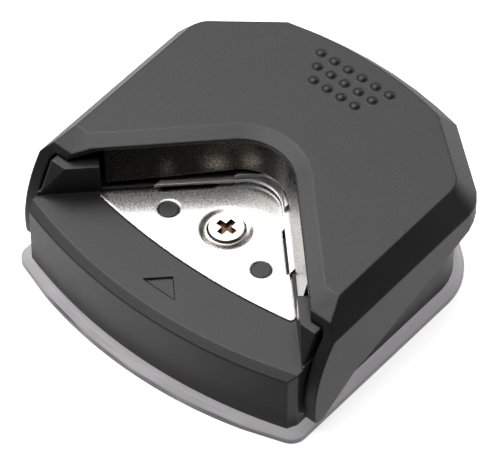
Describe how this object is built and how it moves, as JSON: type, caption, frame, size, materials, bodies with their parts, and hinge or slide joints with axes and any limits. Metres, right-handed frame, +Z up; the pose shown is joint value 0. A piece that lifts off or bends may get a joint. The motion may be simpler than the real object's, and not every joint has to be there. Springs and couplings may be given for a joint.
{
  "type": "corner rounder punch",
  "caption": "Small desk press that rounds paper corners: sprung lever cover with a V throat over a steel die plate, on a base with a clear clip-on chip tray.",
  "frame": {"origin": "centre of the object's bounding box in plan, on the table", "axes": "+Z up, +Y from the die plate's open front to the back of the lever, +X to the right seen from the front"},
  "size_m": [0.0642, 0.0656, 0.0259],
  "materials": {
    "charcoal_abs": "fine moulded texture",
    "frosted_clear": "frosted translucent",
    "polished_steel": "polished",
    "nickel_screw": "nickel plated",
    "steel": "ground",
    "spring_steel": "drawn wire",
    "white_acetal": "smooth"
  },
  "bodies": {
    "base": {"base_body": "charcoal_abs", "die_plate": "polished_steel", "die_plate_screw": "nickel_screw", "guide_plate": "polished_steel", "guide_plate_screws": "steel", "hinge_pin_left": "steel", "hinge_pin_right": "steel", "return_spring_left": "spring_steel", "return_spring_right": "spring_steel"},
    "lever": {"lever_cover": "charcoal_abs", "throat_liner": "polished_steel", "liner_screws": "steel", "spring_cup_left": "white_acetal", "spring_cup_right": "white_acetal"},
    "punch": {"punch_blade": "steel", "punch_holder": "white_acetal", "blade_screw": "steel", "lift_pin": "steel", "retaining_clip": "steel"},
    "tray": {"chip_tray": "frosted_clear"}
  },
  "joints": [
    {"name": "lever_hinge", "type": "hinge", "parent": "base", "child": "lever", "pos_m": [0, -0.0182, 0.009], "axis": [-1, 0, 0], "range_deg": [0, 4.5], "stiffness_Nm_per_rad": 8, "springref_deg": -3.44, "deforming": ["return_spring_left", "return_spring_right"]},
    {"name": "punch_slide", "type": "slide", "parent": "base", "child": "punch", "axis": [0, 0, -1], "range_m": [0, 0.00245]},
    {"name": "tray_slide", "type": "slide", "parent": "base", "child": "tray", "axis": [0, 0, -1], "range_m": [0, 0.012]}
  ],
  "couplings": [
    {"joint": "punch_slide", "follows": "lever_hinge", "m_per_rad": 0.03074}
  ]
}
